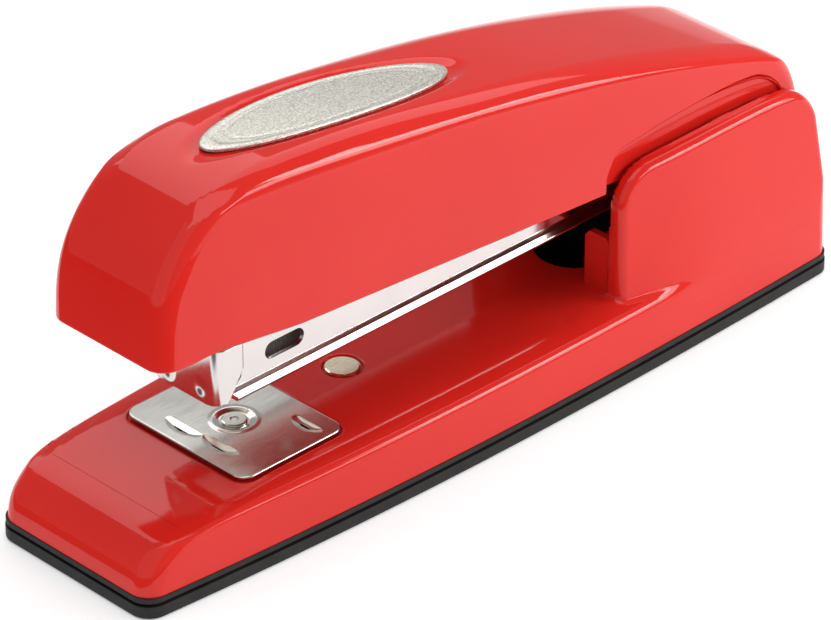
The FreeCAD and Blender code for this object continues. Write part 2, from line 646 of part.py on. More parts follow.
# along the top: X, height, half width of the flat between the two sloped shoulders
CAP_ROOF = [
    (-88.0, 80.9, 8.0), (-75.0, 81.0, 9.4), (-63.5, 80.8, 11.2), (-50.0, 80.2, 12.1), (-25.0, 77.9, 13.2),
    (0.0, 74.1, 13.9), (25.0, 69.5, 14.1), (46.0, 64.4, 14.2), (70.0, 57.3, 14.5), (86.0, 51.4, 14.8),
    (96.0, 47.4, 15.0),
]
CAP_BROW = [
    (-84.9, 47.9), (-84.8, 54.0), (-83.7, 60.8), (-80.7, 67.7), (-75.4, 74.1), (-68.5, 78.6), (-60.5, 81.6),
]
CAP_REAR = [(82.0, 56.0), (86.2, 51.9), (89.3, 48.0), (91.3, 43.8), (92.0, 40.5)]
CAP_HEM = [(31.0, 41.8), (18.0, 42.7), (-21.0, 45.2), (-52.0, 46.7), (-66.0, 48.2), (-76.0, 48.4),
           (-84.9, 47.9)]
SKY = 95.0


def roof(inset):
    """The top and its two 45 degree shoulders, lofted through sections along X."""
    wires = []
    for x, top, half in CAP_ROOF:
        z = top - inset
        y = half - 0.414 * inset
        spots = [(-y - 8, 10.0), (-y - 8, z - 8), (-y, z), (y, z), (y + 8, z - 8), (y + 8, 10.0)]
        wires.append(Part.makePolygon([vec(x, a, b) for a, b in spots + spots[:1]]))
    return Part.makeLoft(wires, True, False)


def cap_side(inset):
    """The cap's front, rear and hem from the side; an inset leaves the underside open."""
    brow = [(x + inset, z) for x, z in CAP_BROW]
    rear = [(x - inset, z) for x, z in CAP_REAR]
    over = ((brow[-1], (brow[-1][0], SKY)), ((brow[-1][0], SKY), (rear[0][0], SKY)),
            ((rear[0][0], SKY), rear[0]))
    if inset:
        low = 12.0
        under = ((rear[-1], (rear[-1][0], low)), ((rear[-1][0], low), (brow[0][0], low)),
                 ((brow[0][0], low), brow[0]))
    else:
        under = (
            (rear[-1], (90.0, 36.0)), ((90.0, 36.0), (80.0, 33.0)), ((80.0, 33.0), (58.0, 37.5)),
            ((58.0, 37.5), CAP_HEM[0]), CAP_HEM,
        )
    return slab((brow,) + over + (rear,) + under, 40)


def brow_corners(inset):
    """A block that leans back with the forehead and rounds its two corners."""
    front = -86.6 + inset
    near = [(front, -15.7 + inset), (front + 16.0, -17.9 + inset), (front + 60.0, -24.0), (190.0, -24.0)]
    spots = near + [(x, -y) for x, y in reversed(near)]
    wire = Part.makePolygon([vec(x, y, 60.0) for x, y in spots + spots[:1]])
    leaning = Part.Face(wire).extrude(vec(22.5, 0, 30.0))
    edges = [e for e in leaning.Edges if e.BoundBox.ZLength > 29 and e.BoundBox.XMin < front + 1]
    upper = leaning.makeFillet(6.5 - inset, edges)
    return upper.fuse(Part.makeBox(300, 60, 61.2, vec(-100, -30, 0)))


def cap_form(inset):
    """The cap as a block: plan with leaning sides, under the roof, within the side view."""
    sides = corners(drafted(CAP_HALVES, (inset, 25.0), (inset + 2.6, 90.0)), 4.6 - inset, 7.0 - inset)
    return sides.common(roof(inset)).common(cap_side(inset)).common(brow_corners(inset))


def step_zone(margin, half):
    """What the wings need: everything outside a half width, under a line that follows the wings."""
    m = margin
    line = [(31.6 - m, 45.2), (33.8 - m, 48.8 + m / 2), (37.8, 50.5 + m), (46.0, 51.1 + m),
            (58.7, 51.3 + m),
            (71.0, 50.8 + m), (77.0, 50.0 + m), (81.2, 48.4 + m), (84.6 + m / 2, 45.4 + m),
            (86.8 + m, 41.0)]
    low = 12.0
    runs = (line, (line[-1], (86.8 + m, low)), ((86.8 + m, low), (31.2 - m, low)),
            ((31.2 - m, low), line[0]))
    wire = chain(runs, lambda x, z: vec(x, half, z))
    far = Part.Face(wire).extrude(vec(0, 15, 0))
    return [far, far.mirror(vec(0, 0, 0), vec(0, 1, 0))]


def top_band(low, high, x_low, x_high):
    """A layer of the roof between two heights above its surface."""
    spots = [(x, z) for x, z, half in CAP_ROOF if x_low < x < x_high]
    above = [(x, z + high) for x, z in spots]
    below = [(x, z + low) for x, z in reversed(spots)]
    return slab((above, (above[-1], below[0]), below, (below[-1], above[0])), 40)


def oval(long_radius, wide_radius):
    """An upright elliptical prism centred on the badge."""
    rim = Part.Ellipse(vec(-26.8, 0, 40), long_radius, wide_radius).toShape()
    return Part.Face(Part.Wire(rim)).extrude(vec(0, 0, 60))


cap_sheet = value("cap_sheet")
cap_step = value("cap_step")
cavity = cap_form(cap_sheet).cut(step_zone(cap_sheet, cap_step - cap_sheet))
rear_mouth = Part.makeBox(14, 2 * (cap_step - cap_sheet), 32, vec(80, -cap_step + cap_sheet, 14.5))
cap = cap_form(0.0).cut(step_zone(0.0, cap_step)).cut([cavity, rear_mouth])
cap = cap.cut(oval(33.2, 9.1).common(top_band(-0.6, 3.0, -80, 60)))
shell("handle_cap", cap)
shell("badge", oval(32.0, 8.0).common(top_band(-0.6, 0.5, -80, 60)))

# ---- handle frame and driver ----
FRAME_TOP = [(-52.0, 78.9), (-25.0, 76.4), (0.0, 72.6), (25.0, 68.0), (46.0, 62.9), (62.0, 58.3)]
frame_half = value("frame_half")
frame_sheet = value("frame_sheet")
pin_x = value("pin_x")
pin_z = value("pin_z")


def frame_side(drop, tail):
    top = [(x, z - drop) for x, z in FRAME_TOP]
    runs = [top]
    spots = [top[-1]] + tail + [top[0]]
    for first, second in zip(spots, spots[1:]):
        runs.append((first, second))
    return runs


FRAME_TAIL = [
    (76.0, 49.6), (85.0, 43.6), (88.6, 40.0), (88.8, 35.0), (85.0, 31.0), (79.5, 31.0), (75.0, 34.5),
    (60.0, 45.0),
    (20.0, 58.5), (-10.0, 64.5), (-52.0, 70.5),
]
OPEN_TAIL = [(62.0, 90.0), (100.0, 90.0), (100.0, 10.0), (-60.0, 10.0), (-60.0, 70.0)]
frame = slab(frame_side(0.0, FRAME_TAIL), frame_half)
frame = frame.cut(slab(frame_side(frame_sheet, OPEN_TAIL), frame_half - frame_sheet))
ear_radius = value("pin_radius") + value("pin_play")
pin_bore = Part.makeCylinder(ear_radius, 60, vec(pin_x, -30, pin_z), vec(0, 1, 0))
LEAF_RIVETS = [(-34.0, 0), (-22.0, 0)]
leaf_bores = [Part.makeCylinder(1.5, 20, vec(x, y, 66)) for x, y in LEAF_RIVETS]
shell("handle_frame", frame.cut([pin_bore] + leaf_bores))

leaf_body = pad("driver_leaf_strip", "XZ", (
    ("-16", "73.2"), ("-40", "75.9"), ("-45", "75.3"), ("-53.6", "69.2"),
    ("blade_front + 0.9", "blade_top + 0.2"),
    ("blade_front + 0.9", "56"), ("blade_front + 1.8", "56"), ("blade_front + 1.8", "blade_top - 0.1"),
    ("-52.9", "68.5"), ("-44.7", "74.4"), ("-40", "75"), ("-16", "72.3"),
), "9", middle=True)
node(cut("driver_leaf_cut", leaf_body, rod("blade_eye_leaf", "X", ("-66", "0", "58.5"), "1.2", "10"),
         *bores("leaf_bore", LEAF_RIVETS, "66", "1.5", "20")), "driver_leaf")
leaf_rivets = []
LEAF_GRIPS = (("73.4", "76.0"), ("72.0", "74.8"))
for i, ((x, y), (low, high)) in enumerate(zip(LEAF_RIVETS, LEAF_GRIPS)):
    leaf_rivets.append(turned("leaf_rivet_%d" % i, (
        ("0", low + " - 1.1"), ("2.2", low + " - 1.1"), ("2.4", low), ("1.5", low), ("1.5", high),
        ("0", high),
    ), (str(x), "0", "0")))
node(group("leaf_rivet_set", *leaf_rivets), "leaf_rivets")

blade = block("blade_plate", ("blade_front", "blade_front + blade_thick"), ("-blade_half", "blade_half"),
              ("blade_low", "blade_top"))
node(cut("blade_cut", blade, rod("blade_eye", "X", ("-66", "0", "58.5"), "1.2", "10")), "driver_blade")
node(fuse("blade_rivet_whole",
          rod("blade_rivet_stem", "X", ("blade_front - 0.6", "0", "58.5"), "1.2", "3.0"),
          rod("blade_rivet_head", "X", ("blade_front - 0.8", "0", "58.5"), "2.0", "0.8"),
          rod("blade_rivet_tail", "X", ("blade_front + 1.8", "0", "58.5"), "2.0", "0.7")), "blade_rivet")

# ---- checks, then one file for each piece ----
doc.recompute()
for obj in doc.Objects:
    if "Invalid" in obj.State or "Error" in obj.State:
        raise RuntimeError("failed object: " + obj.Name)
os.makedirs("parts", exist_ok=True)
for obj in NODES:
    if obj.Shape.isNull() or not obj.Shape.isValid():
        raise RuntimeError("bad shape: " + obj.Label)
    obj.Shape.exportStep("parts/" + obj.Label + ".step")
    print("%-18s %d solids %9.1f mm3" % (obj.Label, len(obj.Shape.Solids), obj.Shape.Volume))
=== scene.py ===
import json
import math

import bmesh
import bpy
import numpy as np
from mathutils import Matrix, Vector


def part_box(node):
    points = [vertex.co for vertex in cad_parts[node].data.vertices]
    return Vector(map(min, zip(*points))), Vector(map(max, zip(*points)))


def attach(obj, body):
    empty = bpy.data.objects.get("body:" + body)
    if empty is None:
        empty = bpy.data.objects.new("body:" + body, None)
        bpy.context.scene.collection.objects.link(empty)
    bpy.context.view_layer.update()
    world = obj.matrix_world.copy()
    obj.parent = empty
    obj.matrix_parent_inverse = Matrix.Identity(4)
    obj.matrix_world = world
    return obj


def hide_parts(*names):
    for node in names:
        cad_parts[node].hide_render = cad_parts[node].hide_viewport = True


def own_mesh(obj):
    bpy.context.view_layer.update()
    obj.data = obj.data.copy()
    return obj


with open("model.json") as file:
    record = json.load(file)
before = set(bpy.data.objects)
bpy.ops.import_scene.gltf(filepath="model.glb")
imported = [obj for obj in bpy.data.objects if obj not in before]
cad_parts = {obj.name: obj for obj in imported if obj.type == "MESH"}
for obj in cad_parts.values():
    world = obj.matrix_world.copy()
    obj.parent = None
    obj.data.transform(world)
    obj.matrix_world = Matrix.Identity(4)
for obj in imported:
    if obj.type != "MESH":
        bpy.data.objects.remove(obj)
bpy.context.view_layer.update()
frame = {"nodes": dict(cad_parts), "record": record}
MM = 0.001
MIDDLE_RANGE = (0.3, 0.7)  # where most of a noise texture's values lie
ROLLED_ALONG_X = (1.0, 24.0, 24.0)


# ---- materials ----

class Maker:
    """A Principled material with short calls for its procedural detail."""

    def __init__(self, name, base, **settings):
        self.material = bpy.data.materials.new(name)
        self.material.use_nodes = True
        self.tree = self.material.node_tree
        self.shader = self.tree.nodes["Principled BSDF"]
        self.bump_out = None
        self.put("Base Color", (*base, 1.0))
        for key, number in settings.items():
            self.put(key.replace("_", " ").title().replace("Ior", "IOR"), number)

    def put(self, socket, number):
        self.shader.inputs[socket].default_value = number

    def node(self, kind, **settings):
        made = self.tree.nodes.new(kind)
        for key, number in settings.items():
            if hasattr(made, key):
                setattr(made, key, number)
            else:
                made.inputs[key.replace("_", " ").title()].default_value = number
        return made

    def link(self, a, out, b, into):
        self.tree.links.new(a.outputs[out], b.inputs[into])

    def space(self, stretch=(1.0, 1.0, 1.0)):
        """Object coordinates in metres, stretched so that detail can run along one axis."""
        coordinates = self.node("ShaderNodeTexCoord")
        mapping = self.node("ShaderNodeMapping")
        mapping.inputs["Scale"].default_value = stretch
        self.link(coordinates, "Object", mapping, "Vector")
        return mapping

    def noise(self, scale, detail=2.0, stretch=(1.0, 1.0, 1.0), rough=0.5):
        made = self.node("ShaderNodeTexNoise", scale=scale, detail=detail, roughness=rough)
        self.link(self.space(stretch), "Vector", made, "Vector")
        return made

    def rough(self, source, low, high):
        """Stretches a texture's middle range to a low and a high roughness."""
        ramp = self.node("ShaderNodeMapRange")
        for socket, number in zip(("From Min", "From Max", "To Min", "To Max"), (*MIDDLE_RANGE, low, high)):
            ramp.inputs[socket].default_value = number
        self.link(source, 0, ramp, "Value")
        self.link(ramp, "Result", self.shader, "Roughness")

    def tint(self, source, colours, stops=MIDDLE_RANGE):
        """Colours a texture's dark and light stops."""
        ramp = self.node("ShaderNodeValToRGB")
        for element, stop, colour in zip(ramp.color_ramp.elements, stops, colours):
            element.position = stop
            element.color = (*colour, 1.0)
        self.link(source, 0, ramp, "Fac")
        self.link(ramp, "Color", self.shader, "Base Color")

    def bump(self, source, depth, strength=1.0, coat=False):
        """Adds a height in metres; later calls lie on top of the ones before."""
        made = self.node("ShaderNodeBump", strength=strength, distance=depth)
        self.link(source, 0, made, "Height")
        if self.bump_out is not None:
            self.link(self.bump_out, "Normal", made, "Normal")
        self.bump_out = made
        self.link(made, "Normal", self.shader, "Normal")
        if coat:
            self.link(made, "Normal", self.shader, "Coat Normal")


def enamel():
    """Glossy red stoving enamel: a strong red under a hard clear gloss with a trace of orange peel."""
    m = Maker("red_enamel", (0.66, 0.017, 0.010), roughness=0.4, coat_weight=1.0, coat_roughness=0.07,
              specular_ior_level=0.0, coat_ior=1.40)
    m.tint(m.noise(26.0, 3.0), ((0.640, 0.0150, 0.0100), (0.680, 0.0190, 0.0125)))
    m.bump(m.noise(420.0, 2.0), 0.0000035, 0.5, coat=True)
    return m.material


def rubber():
    """Moulded black rubber with a fine matt grain."""
    m = Maker("black_rubber", (0.014, 0.013, 0.012), roughness=0.5, specular_ior_level=0.3)
    m.tint(m.noise(180.0, 4.0), ((0.010, 0.009, 0.009), (0.020, 0.018, 0.017)))
    grain = m.noise(2600.0, 3.0)
    m.rough(grain, 0.48, 0.68)
    m.bump(grain, 0.00004, 0.35)
    return m.material


def plated(name, light, dark, low, high):
    """Bright plating with fine rolling lines along X and slight staining."""
    m = Maker(name, light, metallic=1.0, roughness=0.1)
    m.tint(m.noise(60.0, 4.0), (dark, light))
    lines = m.noise(260.0, 5.0, ROLLED_ALONG_X, 0.6)
    m.rough(lines, low, high)
    m.bump(lines, 0.000004, 0.5)
    return m.material


def blasted():
    """Bead blasted plate: many tiny dimples under a soft sheen."""
    m = Maker("blasted_plate", (0.70, 0.68, 0.61), metallic=1.0, roughness=0.42)
    grain = m.noise(2300.0, 3.0, rough=0.7)
    m.tint(grain, ((0.50, 0.48, 0.42), (0.82, 0.80, 0.73)), (0.36, 0.60))
    m.rough(grain, 0.34, 0.52)
    m.bump(grain, 0.00006, 0.5)
    return m.material


RED = enamel()
FINISHES = {
    "red_paint": RED,
    "rubber_black": rubber(),
    "bright_chrome": plated("bright_chrome", (0.74, 0.73, 0.71), (0.69, 0.68, 0.66), 0.06, 0.16),
    "nickel_plate": plated("nickel_plate", (0.80, 0.78, 0.73), (0.70, 0.68, 0.63), 0.12, 0.22),
    "satin_nickel": blasted(),
    "spring_steel": plated("spring_steel", (0.42, 0.43, 0.46), (0.28, 0.29, 0.32), 0.22, 0.38),
    "zinc_steel": plated("zinc_steel", (0.66, 0.68, 0.72), (0.50, 0.52, 0.56), 0.25, 0.45),
    "brass_plate": plated("pale_brass", (0.95, 0.84, 0.66), (0.90, 0.76, 0.55), 0.12, 0.24),
    "staple_wire": plated("staple_wire", (0.90, 0.90, 0.89), (0.80, 0.80, 0.79), 0.30, 0.42),
}
SLOT_OF = {row["node"]: row["material_slot"] for row in frame["record"]["subparts"]}


def paint(obj, material):
    obj.data.materials.clear()
    obj.data.materials.append(material)


for name, obj in frame["nodes"].items():
    paint(obj, FINISHES[SLOT_OF[name]])


# ---- camera, floor and light ----

def aim(obj, azimuth, elevation, distance, target):
    """Puts an object round a target; azimuth 0 looks along +Y and elevation is above the horizon."""
    a, e = math.radians(azimuth), math.radians(elevation)
    back = Vector((math.sin(a) * math.cos(e), -math.cos(a) * math.cos(e), math.sin(e)))
    obj.location = Vector(target) + back * distance
    obj.rotation_mode = "QUATERNION"
    obj.rotation_quaternion = (-back).to_track_quat("-Z", "Y")


def area(name, azimuth, elevation, distance, size, power, target=(0.0, 0.0, 0.03)):
    """A white rectangular light aimed at a target."""
    lamp = bpy.data.lights.new(name, "AREA")
    lamp.shape = "RECTANGLE"
    lamp.size, lamp.size_y = size
    lamp.energy = power
    obj = bpy.data.objects.new(name, lamp)
    bpy.context.scene.collection.objects.link(obj)
    aim(obj, azimuth, elevation, distance, target)


scene = bpy.context.scene
scene.view_settings.view_transform = "Standard"
lens = bpy.data.cameras.new("camera")
lens.lens = 241.5
lens.sensor_width = 36.0
lens.clip_start, lens.clip_end = 0.05, 20.0
camera = bpy.data.objects.new("camera", lens)
scene.collection.objects.link(camera)
aim(camera, -44.55, 31.42, 1.1107, (-0.0026, 0.0, 0.0207))
scene.camera = camera

world = bpy.data.worlds.new("studio")
world.use_nodes = True
world.node_tree.nodes["Background"].inputs["Color"].default_value = (1.0, 1.0, 1.0, 1.0)
world.node_tree.nodes["Background"].inputs["Strength"].default_value = 0.38
scene.world = world


def sheet_on_floor(name, corners, height, material):
    """A flat sheet with the given corners, part of the studio."""
    mesh = bpy.data.meshes.new(name)
    mesh.from_pydata([(x, y, height) for x, y in corners], [], [tuple(range(len(corners)))])
    obj = bpy.data.objects.new(name, mesh)
    scene.collection.objects.link(obj)
    paint(obj, material)
    return obj


paper = Maker("pale_floor", (0.86, 0.86, 0.86), roughness=0.8, specular_ior_level=0.1)
paper.put("Emission Color", (1.0, 1.0, 1.0, 1.0))
paper.put("Emission Strength", 0.30)
# just under the rubber pad, so that the two faces don't share a plane
sheet_on_floor("floor", ((-6, -6), (6, -6), (6, 6), (-6, 6)), -0.0002, paper.material)

# a dark studio card outside the picture, which only reflections see
card_black = Maker("black_card", (0.10, 0.10, 0.10), roughness=0.9, specular_ior_level=0.0)
card = sheet_on_floor("card_left", ((-0.115, 3.0), (-3.0, 3.0), (-3.0, -3.0), (0.02, -3.0), (0.02, -0.200),
                                    (-0.115, -0.065)), 0.0006, card_black.material)
card.visible_camera = card.visible_diffuse = card.visible_shadow = False

area("rear_softbox", 135.0, 48.6, 0.55, (0.70, 0.34), 1.1, (-0.07, 0.0, 0.049))
area("key_softbox", 48.5, 24.0, 0.70, (0.36, 0.12), 1.6, (0.0, 0.0, 0.06))
area("side_softbox", 37.0, 15.0, 0.90, (0.80, 0.14), 2.2, (0.0, 0.0, 0.05))
area("top_softbox", -60.0, 78.0, 1.10, (0.8, 0.8), 3.6)
area("front_softbox", -80.0, 35.0, 1.10, (1.7, 1.5), 3.0)

# ---- sculpted sheet metal: rounded forms found by ray, with exact surface normals ----

HALVINGS = 34  # brings a ray of 70 mm to within a nanometre


def spline(points):
    """A natural cubic curve through (x, value) points, straight beyond its ends."""
    x, v = (np.array(c, float) for c in zip(*sorted(points)))
    n, h = len(x), np.diff(x)
    a, b = np.eye(n), np.zeros(n)
    for i in range(1, n - 1):
        a[i, i - 1:i + 2] = h[i - 1], 2 * (h[i - 1] + h[i]), h[i]
        b[i] = 6 * ((v[i + 1] - v[i]) / h[i] - (v[i] - v[i - 1]) / h[i - 1])
    m = np.linalg.solve(a, b)

    def at(q):
        q = np.asarray(q, float)
        k = np.clip(np.searchsorted(x, q) - 1, 0, n - 2)
        inside = np.clip(q, x[0], x[-1])
        s, t = x[k + 1] - inside, inside - x[k]
        value = (m[k] * s ** 3 + m[k + 1] * t ** 3) / (6 * h[k])
        value += (v[k] / h[k] - m[k] * h[k] / 6) * s + (v[k + 1] / h[k] - m[k + 1] * h[k] / 6) * t
        ends = np.where(q < x[0], (v[1] - v[0]) / h[0] - m[1] * h[0] / 6,
                        (v[-1] - v[-2]) / h[-1] + m[-2] * h[-1] / 6)
        return value + ends * (q - inside)

    return at


def meet(a, b, radius):
    """Where both distances are negative, rounded by a radius along the edge between them."""
    u, v = np.maximum(a + radius, 0.0), np.maximum(b + radius, 0.0)
    return np.minimum(np.maximum(a, b), -radius) + np.hypot(u, v)


def smooth_step(t):
    """0 below 0, 1 above 1, and an even curve between."""
    t = np.clip(t, 0.0, 1.0)
    return t * t * (3 - 2 * t)


def march(form, start, way, reach):
    """Distance along each ray to the form's surface, by halving."""
    low, high = np.zeros(len(start)), np.full(len(start), float(reach))
    for _ in range(HALVINGS):
        middle = (low + high) / 2
        inside = form(start + way * middle[:, None]) < 0
        low, high = np.where(inside, middle, low), np.where(inside, high, middle)
    return (low + high) / 2


def slope(form, spots, step=0.02):
    """Outward unit normals of a form at points on it."""
    made = np.empty_like(spots)
    for axis in range(3):
        shift = np.zeros(3)
        shift[axis] = step
        made[:, axis] = form(spots + shift) - form(spots - shift)
    return made / np.linalg.norm(made, axis=1)[:, None]


def place(name, mesh, material, body, *replaced):
    """Puts a smooth mesh on a body, in place of the CAD solids it replaces."""
    obj = bpy.data.objects.new(name, mesh)
    scene.collection.objects.link(obj)
    mesh.materials.append(material)
    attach(obj, body)
    if replaced:
        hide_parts(*replaced)


def shade(mesh, normals):
    """Smooth shading with the form's own normals."""
    mesh.polygons.foreach_set("use_smooth", [True] * len(mesh.polygons))
    mesh.normals_split_custom_set_from_vertices(normals.tolist())


NO_AREA = 1e-13  # square metres


class Sheet:
    """Collects grids of points in millimetres, with normals, into one mesh."""

    def __init__(self):
        self.points, self.normals, self.faces, self.count = [], [], [], 0

    def grid(self, spots, normals, closed=False, flip=False):
        """spots and normals are (rows, columns, 3)."""
        rows, columns = spots.shape[:2]
        index = np.arange(rows * columns).reshape(rows, columns) + self.count
        wide = np.concatenate([index, index[:, :1]], 1) if closed else index
        for a, b in zip(wide[:-1], wide[1:]):
            for quad in zip(a[:-1], a[1:], b[1:], b[:-1]):
                self.faces.append([int(i) for i in (reversed(quad) if flip else quad)])
        self.points.append(spots.reshape(-1, 3))
        self.normals.append(normals.reshape(-1, 3))
        self.count += rows * columns

    def build(self, name, material, body, *replaced):
        mesh = bpy.data.meshes.new(name)
        points = np.concatenate(self.points) * MM
        normals = np.concatenate(self.normals)
        mesh.from_pydata(points.tolist(), [], self.faces)
        self.face_outward(mesh, normals)
        shade(mesh, normals)
        place(name, mesh, material, body, *replaced)

    @staticmethod
    def face_outward(mesh, normals):
        """Turns each face to the side its points' normals are on, and drops faces with no area."""
        bm = bmesh.new()
        bm.from_mesh(mesh)
        bm.normal_update()
        thin = []
        for face in bm.faces:
            if face.calc_area() < NO_AREA:
                thin.append(face)
                continue
            mean = sum((Vector(normals[v.index]) for v in face.verts), Vector())
            if face.normal.dot(mean) < 0:
                face.normal_flip()
        bmesh.ops.delete(bm, geom=thin, context="FACES_ONLY")
        bm.to_mesh(mesh)
        bm.free()


# ---- handle cap ----
# along X: the top's height, half widths of the flat top, of the band beside it and of the side, and how far
# the band and the crease lie below the top; along Z: where the front and the rear end are
TOP = spline([(-90, 80.7), (-75, 81.0), (-63.5, 80.8), (-50, 80.2), (-25, 77.9), (0, 74.1), (25, 69.5),
              (46, 64.4), (70, 57.3), (86, 51.4), (96, 47.2)])
TOP_HALF = spline([(-90, 9.3), (-75, 10.8), (-60, 12.6), (-40, 13.3), (0, 13.6), (46, 13.8), (90, 14.2)])
BAND_HALF = spline([(-90, 14.0), (-75, 15.2), (-60, 16.0), (-24, 17.1), (20, 17.2), (60, 17.0), (90, 16.4)])
BAND_DROP = spline([(-90, 4.6), (-60, 4.3), (-24, 4.0), (-4, 3.0), (20, 2.7), (42, 2.1), (90, 1.6)])
CREASE_DROP = spline([(-90, 8.6), (-60, 8.2), (-25, 7.8), (3, 7.2), (41, 7.2), (90, 5.5)])
SIDE_HALF = spline([(-85.3, 16.9), (-70, 18.2), (-50, 19.2), (-20, 20.0), (20, 20.2), (60, 19.7),
                    (92.4, 18.1)])
BROW = spline([(40, -84.9), (47.9, -84.9), (54, -84.8), (60.8, -83.7), (67.7, -80.7), (74.1, -75.4),
               (78.6, -68.5), (81.6, -60.5), (90, -36)])
TAIL = spline([(30, 91.9), (40.5, 92.0), (43.8, 91.3), (48.0, 89.3), (51.9, 86.2), (56, 82.0), (62, 75.0)])
BADGE_X, BADGE_LONG, BADGE_WIDE = -26.8, 32.0, 8.0
WELL_DEEP, CROWN = 0.95, 0.15
SIDE_LEAN, SIDE_LEAN_FROM = 0.04, 25.0
SIDE_ROUND, BAND_ROUND, TOP_ROUND, BROW_ROUND, TAIL_ROUND = 3.0, 0.9, 1.9, 4.2, 3.6


def side_half(x, z):
    """The side's half width, which draws in a little towards the top."""
    return SIDE_HALF(x) - (z - SIDE_LEAN_FROM) * SIDE_LEAN


def badge_reach(x, y, margin):
    """1 on the badge's rim grown by a margin, less inside."""
    return np.hypot((x - BADGE_X) / (BADGE_LONG + margin), y / (BADGE_WIDE + margin))


def cap_form(p):
    """Below zero inside the cap; millimetres near its surface."""
    x, y, z = p[:, 0], np.abs(p[:, 1]), p[:, 2]
    top, half = TOP(x), TOP_HALF(x)
    fall = TOP(x + 0.5) - TOP(x - 0.5)
    crown = CROWN * (y / half) ** 2
    well = WELL_DEEP * (1 - smooth_step((badge_reach(x, p[:, 1], 0.5) - 0.96) / 0.22))
    upper = (z - top + crown + well) / np.hypot(1, fall)
    wide, drop = BAND_HALF(x), BAND_DROP(x)
    run = np.hypot(wide - half, drop)
    band = ((y - half) * drop + (z - top) * (wide - half)) / run
    low = CREASE_DROP(x)
    side = side_half(x, z)
    lean = side_half(x, top - low) - wide
    steep = ((y - wide) * (low - drop) + (z - top + drop) * lean) / np.hypot(low - drop, lean)
    form = meet(y - side, steep, SIDE_ROUND)
    form = meet(form, band, BAND_ROUND)
    form = meet(form, upper, TOP_ROUND)
    front_slope = BROW(z + 0.5) - BROW(z - 0.5)
    form = meet(form, (BROW(z) - x) / np.hypot(1, front_slope), BROW_ROUND)
    rear_slope = TAIL(z + 0.5) - TAIL(z - 0.5)
    return meet(form, (x - TAIL(z)) / np.hypot(1, rear_slope), TAIL_ROUND)


def cap_rail():
    """The hem's path: centre (x, z) and the way up out of it, from the front edge round to the rear edge."""
    stops = []
    for i in range(66):
        t = i / 65
        angle = 180 - 90 * t ** 0.9
        stops.append((-72.0 + 22.0 * t, 48.35 - 1.75 * t ** 1.2, angle))
    hem = spline([(-52, 46.7), (-21, 45.2), (18, 42.7), (31.4, 41.8)])
    for x in np.concatenate([np.arange(-49.4, 9.0, 0.62), np.arange(9.0, 31.0, 1.1), [31.35]]):
        stops.append((x, float(hem(x)), 90.0))
    step = spline([(31.6, 45.0), (33.8, 48.8), (37.8, 50.5), (46.0, 51.1), (58.7, 51.3), (71.0, 50.8),
                   (77.0, 50.0)])
    for x in np.concatenate([[31.6, 31.9, 32.4, 33.0, 33.8, 34.8, 36.0, 37.4], np.arange(39.0, 77.1, 1.5)]):
        stops.append((x, float(step(x)), 90.0))
    curl = ((78.6, 49.6, 86), (80.0, 49.0, 80), (81.4, 48.3, 72), (82.6, 47.5, 62), (83.7, 46.5, 52),
            (84.7, 45.4, 40), (85.5, 44.2, 28), (86.1, 43.0, 16), (86.5, 41.8, 8), (86.8, 40.6, 3),
            (86.8, 39.4, 0), (86.8, 38.2, -2), (86.8, 37.2, -4), (86.8, 36.3, -6))
    return np.array(stops + list(curl))


def cross_fan(high):
    """Ray angles from the near hem over the top to the far hem, close together at the edges of the form."""
    knots = np.array([(19.5, 0.0), (18.4, max(high - 7.8, 0.35 * high)), (17.2, max(high - 3.2, 0.62 * high)),
                      (13.2, high), (0.0, high)])
    spots = []
    for (a, b), count in zip(zip(knots, knots[1:]), (15, 7, 9, 25)):
        for t in np.arange(count) / count:
            spots.append(a + (b - a) * t)
    near = np.degrees(np.arctan2([s[0] for s in spots], [s[1] for s in spots]))
    return np.concatenate([-near, [0.0], near[::-1]])


RAIL = cap_rail()
ways = np.stack([np.cos(np.radians(RAIL[:, 2])), np.sin(np.radians(RAIL[:, 2]))], 1)
centres = np.stack([RAIL[:, 0], np.zeros(len(RAIL)), RAIL[:, 1]], 1)
ups = np.stack([ways[:, 0], np.zeros(len(RAIL)), ways[:, 1]], 1)
heights = march(cap_form, centres, ups, 60.0)
fans = np.radians([cross_fan(h) for h in heights])
rays = np.cos(fans)[:, :, None] * ups[:, None, :] + np.sin(fans)[:, :, None] * np.array([0.0, 1.0, 0.0])
starts = np.repeat(centres[:, None, :], fans.shape[1], 1)
reach = march(cap_form, starts.reshape(-1, 3), rays.reshape(-1, 3), 70.0)
skin = starts + rays * reach.reshape(fans.shape)[:, :, None]
skin_normals = slope(cap_form, skin.reshape(-1, 3)).reshape(skin.shape)
CAP_SHEET = 1.2
lining = skin - skin_normals * CAP_SHEET
ROLL_STEPS = 6


def edge_roll(outer, inner, normals, outward):
    """A half-round edge that joins the outer and inner skins along a border."""
    middle, radius = (outer + inner) / 2, np.linalg.norm(outer - inner, axis=1)[:, None] / 2
    rows, row_normals = [], []
    for i in range(ROLL_STEPS + 1):
        a = math.pi * i / ROLL_STEPS
        way = normals * math.cos(a) + outward * math.sin(a)
        rows.append(middle + way * radius)
        row_normals.append(way)
    return np.array(rows), np.array(row_normals)


def outward_of(border, inside, normals):
    """Unit ways out of a skin at its border, square to the normals."""
    away = border - inside
    away -= normals * np.sum(away * normals, axis=1)[:, None]
    return away / np.maximum(np.linalg.norm(away, axis=1), 1e-9)[:, None]


